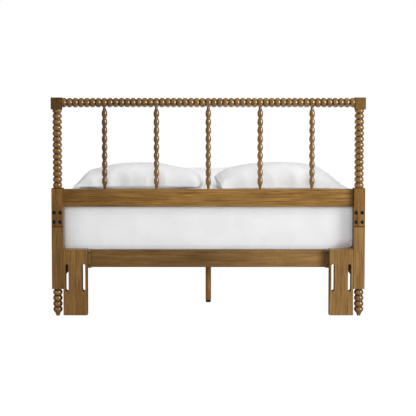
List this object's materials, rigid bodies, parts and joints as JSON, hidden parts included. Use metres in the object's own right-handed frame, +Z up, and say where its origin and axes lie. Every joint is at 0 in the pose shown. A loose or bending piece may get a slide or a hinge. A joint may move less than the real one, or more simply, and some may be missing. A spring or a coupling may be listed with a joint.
{
  "type": "spool-turned spindle bed",
  "caption": "Queen-size wooden bed with spool-turned headboard posts, top rail and spindles, bolted leg laps, slotted boards, slatted base, mattress and pillows",
  "frame": {"origin": "on the floor under the middle of the bed's box", "axes": "+Y runs from the headboard to the foot end, +Z is up, +X is to the right seen from behind the headboard"},
  "size_m": [1.65, 2.166, 1.156],
  "materials": {
    "stained_wood": "mid-brown stain under a satin clear coat",
    "plain_wood": "planed, unfinished",
    "strap_webbing": "woven webbing",
    "dark_bolt_steel": "black oxide, satin",
    "zinc_steel": "zinc plated",
    "dark_glide_plastic": "matte",
    "mattress_cloth": "white knitted ticking",
    "pillow_cloth": "white woven cotton"
  },
  "bodies": {
    "frame": {"upper_post_left": "stained_wood", "upper_post_right": "stained_wood", "leg_left": "stained_wood", "leg_right": "stained_wood", "slotted_board_left": "stained_wood", "slotted_board_right": "stained_wood", "stretcher_cleat_left": "stained_wood", "stretcher_cleat_right": "stained_wood", "side_rail_left": "stained_wood", "side_rail_right": "stained_wood", "foot_post_left": "stained_wood", "foot_post_right": "stained_wood", "top_rail": "stained_wood", "headboard_rail": "stained_wood", "stretcher": "stained_wood", "foot_rail": "stained_wood", "spindle_1": "stained_wood", "spindle_2": "stained_wood", "spindle_3": "stained_wood", "spindle_4": "stained_wood", "spindle_5": "stained_wood", "centre_leg_1": "stained_wood", "centre_leg_2": "stained_wood", "centre_leg_3": "stained_wood", "slat_ledger_left": "plain_wood", "slat_ledger_right": "plain_wood", "centre_beam": "plain_wood", "slat_1": "plain_wood", "slat_2": "plain_wood", "slat_3": "plain_wood", "slat_4": "plain_wood", "slat_5": "plain_wood", "slat_6": "plain_wood", "slat_7": "plain_wood", "slat_8": "plain_wood", "slat_9": "plain_wood", "slat_10": "plain_wood", "slat_11": "plain_wood", "slat_12": "plain_wood", "slat_13": "plain_wood", "slat_14": "plain_wood", "slat_strap_left": "strap_webbing", "slat_strap_right": "strap_webbing", "lap_bolts": "dark_bolt_steel", "cleat_screws": "zinc_steel", "rail_hook_plates": "zinc_steel", "rail_catch_plates": "zinc_steel", "beam_hanger_head": "zinc_steel", "beam_hanger_foot": "zinc_steel", "foot_glides": "dark_glide_plastic"},
    "mattress": {"mattress": "mattress_cloth"},
    "pillow_left": {"pillow_left": "pillow_cloth"},
    "pillow_right": {"pillow_right": "pillow_cloth"},
    "centre_glide_1": {"centre_glide_1": "dark_glide_plastic"},
    "centre_glide_2": {"centre_glide_2": "dark_glide_plastic"},
    "centre_glide_3": {"centre_glide_3": "dark_glide_plastic"}
  },
  "joints": [
    {"name": "mattress_lift", "type": "slide", "parent": "frame", "child": "mattress", "axis": [0, 0, 1], "range_m": [0, 0.4]},
    {"name": "pillow_left_lift", "type": "slide", "parent": "mattress", "child": "pillow_left", "axis": [0, 0, 1], "range_m": [0, 0.4]},
    {"name": "pillow_right_lift", "type": "slide", "parent": "mattress", "child": "pillow_right", "axis": [0, 0, 1], "range_m": [0, 0.4]},
    {"name": "centre_glide_1_level", "type": "slide", "parent": "frame", "child": "centre_glide_1", "axis": [0, 0, 1], "range_m": [0, 0.0025]},
    {"name": "centre_glide_2_level", "type": "slide", "parent": "frame", "child": "centre_glide_2", "axis": [0, 0, 1], "range_m": [0, 0.0025]},
    {"name": "centre_glide_3_level", "type": "slide", "parent": "frame", "child": "centre_glide_3", "axis": [0, 0, 1], "range_m": [0, 0.0025]}
  ]
}
